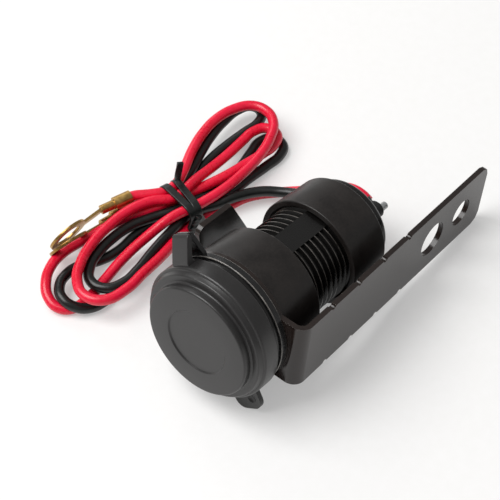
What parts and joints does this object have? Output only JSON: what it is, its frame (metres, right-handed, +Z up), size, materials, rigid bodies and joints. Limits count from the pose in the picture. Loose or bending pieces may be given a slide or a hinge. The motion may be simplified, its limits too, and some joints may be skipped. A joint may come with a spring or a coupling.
{
  "type": "motorcycle usb charger socket",
  "caption": "Round panel socket with a hinged rubber cap, threaded barrel, ring nuts, folded drilled bracket and red and black leads tied in a hank with ring terminals.",
  "frame": {"origin": "middle of the socket and bracket's box seen from above, on the table they lie on; the loose wires are not counted", "axes": "+Y from the cap to the rear, level, under the barrel's axis; +X towards the long arm of the bracket; +Z up"},
  "size_m": [0.0852, 0.1058, 0.0445],
  "materials": {
    "cap_rubber": "matt moulded",
    "barrel_nylon": "satin moulded",
    "nut_nylon": "satin moulded",
    "black_paint": "satin black",
    "plate_plastic": "matt",
    "tinned_steel": "bright",
    "white_plastic": "matt",
    "gilt_contact": "bright",
    "board_green": "lacquered",
    "chip_black": "matt",
    "ferrite": "matt",
    "capacitor_can": "satin",
    "ceramic": "matt",
    "pin_steel": "satin",
    "boot_rubber": "satin",
    "red_insulation": "gloss",
    "black_insulation": "gloss",
    "tie_plastic": "satin",
    "terminal_brass": "bright"
  },
  "bodies": {
    "socket": {"cap_anchor_ring": "cap_rubber", "socket_barrel": "barrel_nylon", "front_ring_nut": "nut_nylon", "mounting_bracket": "black_paint", "usb_face_plate": "plate_plastic", "usb_port_upper": "tinned_steel", "usb_port_lower": "tinned_steel", "usb_tongue_upper": "white_plastic", "usb_tongue_lower": "white_plastic", "usb_contacts": "gilt_contact", "circuit_board": "board_green", "converter_chip": "chip_black", "power_inductor": "ferrite", "filter_capacitors": "capacitor_can", "small_components": "ceramic", "rear_plug": "plate_plastic", "positive_terminal": "pin_steel", "negative_terminal": "pin_steel", "positive_boot": "boot_rubber", "negative_boot": "boot_rubber", "red_wire_lead": "red_insulation", "black_wire_lead": "black_insulation", "wire_hank": "red_insulation", "twist_tie": "tie_plastic", "red_wire_tail": "red_insulation", "black_wire_tail": "black_insulation", "red_ring_terminal": "terminal_brass", "black_ring_terminal": "terminal_brass"},
    "cap": {"protective_cap": "cap_rubber"},
    "rear_nut": {"rear_ring_nut": "nut_nylon"}
  },
  "joints": [
    {"name": "cap_hinge", "type": "hinge", "parent": "socket", "child": "cap", "pos_m": [-0.0159, -0.03595, 0.04267], "axis": [-0.8141, -0.0778, -0.5755], "range_deg": [0, 165]},
    {"name": "rear_nut_turn", "type": "hinge", "parent": "socket", "child": "rear_nut", "pos_m": [-0.0008, 0.00323, 0.01602], "axis": [0, 0.991, -0.134], "continuous": true}
  ]
}
